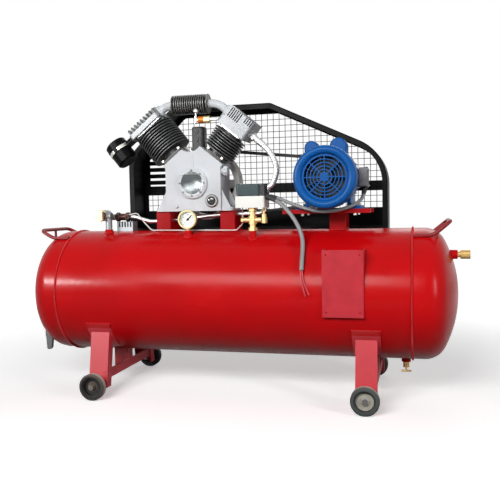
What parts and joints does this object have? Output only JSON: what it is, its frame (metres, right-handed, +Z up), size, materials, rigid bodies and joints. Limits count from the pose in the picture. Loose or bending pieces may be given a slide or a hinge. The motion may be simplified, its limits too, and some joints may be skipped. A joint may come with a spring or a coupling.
{
  "type": "air compressor",
  "caption": "Belt-driven two-stage air compressor on a horizontal receiver with wheels, electric motor, mesh belt guard, gauge and pressure switch.",
  "frame": {"origin": "on the floor under the middle of the machine: halfway along it in X, on the receiver axis in Y", "axes": "+X along the receiver towards the air outlet, +Z up, the gauge and the fan cover face -Y, the belt guard is on the +Y side"},
  "size_m": [1.691, 0.584, 1.153],
  "materials": {
    "red_paint": "gloss",
    "dark_red_paint": "gloss",
    "black_paint": "satin",
    "silver_paint": "satin",
    "blue_paint": "gloss",
    "dark_grey_paint": "satin",
    "tyre_grey": "matte",
    "tyre_black": "matte",
    "brass": "satin",
    "steel": "satin",
    "dark_steel": "satin",
    "cast_iron_black": "satin",
    "dial_white": "matte",
    "needle_black": "matte",
    "clear_glass": "clear",
    "switch_white": "matte",
    "switch_grey": "matte",
    "black_plastic": "matte",
    "white_tube": "gloss",
    "cord_grey": "matte",
    "braid": "satin",
    "aluminium": "satin",
    "belt_rubber": "matte",
    "cast_grey": "satin",
    "bezel": "gloss"
  },
  "bodies": {
    "machine": {"tank": "red_paint", "leg_frame_left": "red_paint", "leg_frame_right": "red_paint", "wheel_axles": "dark_steel", "tank_handles": "red_paint", "tow_lug": "dark_grey_paint", "starter_plate": "red_paint", "outlet_fitting": "brass", "drain_valve_body": "brass", "gauge_case": "bezel", "gauge_dial": "dial_white", "gauge_lens": "clear_glass", "pressure_manifold": "brass", "tank_safety_valve": "brass", "switch_base": "switch_white", "switch_cover": "switch_grey", "switch_glands": "black_plastic", "unloader_tube": "white_tube", "check_valve": "silver_paint", "inlet_tee": "brass", "discharge_pipe": "steel", "discharge_hose": "braid", "pump_brackets": "dark_red_paint", "crankcase": "silver_paint", "crankcase_cover": "silver_paint", "sight_glass": "black_plastic", "filler_and_breather": "dark_grey_paint", "shaft_bearings": "steel", "low_pressure_cylinder": "cast_iron_black", "low_pressure_head": "silver_paint", "high_pressure_cylinder": "cast_iron_black", "high_pressure_head": "silver_paint", "valve_plates": "steel", "intercooler": "cast_iron_black", "intercooler_elbows": "silver_paint", "air_filter": "black_paint", "interstage_valve": "brass", "guard_upper": "black_paint", "guard_lower": "black_paint", "drive_belts": "belt_rubber", "motor_frame": "blue_paint", "motor_fan_cover": "blue_paint", "motor_terminal_box": "dark_grey_paint", "motor_base": "dark_red_paint", "mains_cord": "cord_grey", "motor_cable": "cord_grey", "bolts": "dark_steel"},
    "crank": {"crankshaft": "dark_steel", "flywheel": "cast_grey"},
    "motor_shaft": {"motor_rotor": "steel", "motor_fan": "black_plastic", "motor_pulley": "cast_grey"},
    "low_pressure_piston_body": {"low_pressure_piston": "aluminium"},
    "high_pressure_piston_body": {"high_pressure_piston": "aluminium"},
    "drain_tee": {"drain_handle": "brass"},
    "needle": {"gauge_needle": "needle_black"},
    "front_left_wheel": {"wheel_front_left": "tyre_grey"},
    "front_right_wheel": {"wheel_front_right": "tyre_grey"},
    "rear_left_wheel": {"wheel_rear_left": "tyre_black"},
    "rear_right_wheel": {"wheel_rear_right": "tyre_black"}
  },
  "joints": [
    {"name": "wheel_front_left_spin", "type": "hinge", "parent": "machine", "child": "front_left_wheel", "pos_m": [-0.5205, -0.277, 0.05], "axis": [0, 1, 0], "continuous": true},
    {"name": "wheel_rear_left_spin", "type": "hinge", "parent": "machine", "child": "rear_left_wheel", "pos_m": [-0.5205, 0.277, 0.05], "axis": [0, 1, 0], "continuous": true},
    {"name": "wheel_front_right_spin", "type": "hinge", "parent": "machine", "child": "front_right_wheel", "pos_m": [0.4895, -0.277, 0.05], "axis": [0, 1, 0], "continuous": true},
    {"name": "wheel_rear_right_spin", "type": "hinge", "parent": "machine", "child": "rear_right_wheel", "pos_m": [0.4895, 0.277, 0.05], "axis": [0, 1, 0], "continuous": true},
    {"name": "crank_spin", "type": "hinge", "parent": "machine", "child": "crank", "pos_m": [-0.1835, 0.104, 0.808], "axis": [0, 1, 0], "continuous": true},
    {"name": "motor_spin", "type": "hinge", "parent": "machine", "child": "motor_shaft", "pos_m": [0.3505, 0.104, 0.811], "axis": [0, 1, 0], "continuous": true},
    {"name": "low_pressure_piston_slide", "type": "slide", "parent": "machine", "child": "low_pressure_piston_body", "axis": [-0.6293, 0, 0.7771], "range_m": [-0.05193, 0.00805]},
    {"name": "high_pressure_piston_slide", "type": "slide", "parent": "machine", "child": "high_pressure_piston_body", "axis": [0.6293, 0, 0.7771], "range_m": [-0.05193, 0.00805]},
    {"name": "drain_turn", "type": "hinge", "parent": "machine", "child": "drain_tee", "pos_m": [0.6195, 0, 0.107], "axis": [0, 0, 1], "range_deg": [0, 360]},
    {"name": "gauge_needle_turn", "type": "hinge", "parent": "machine", "child": "needle", "pos_m": [-0.1905, -0.094, 0.669], "axis": [0, 1, 0], "range_deg": [-180, 90]}
  ],
  "couplings": [
    {"joint": "motor_spin", "follows": "crank_spin", "ratio": 1.7006}
  ]
}
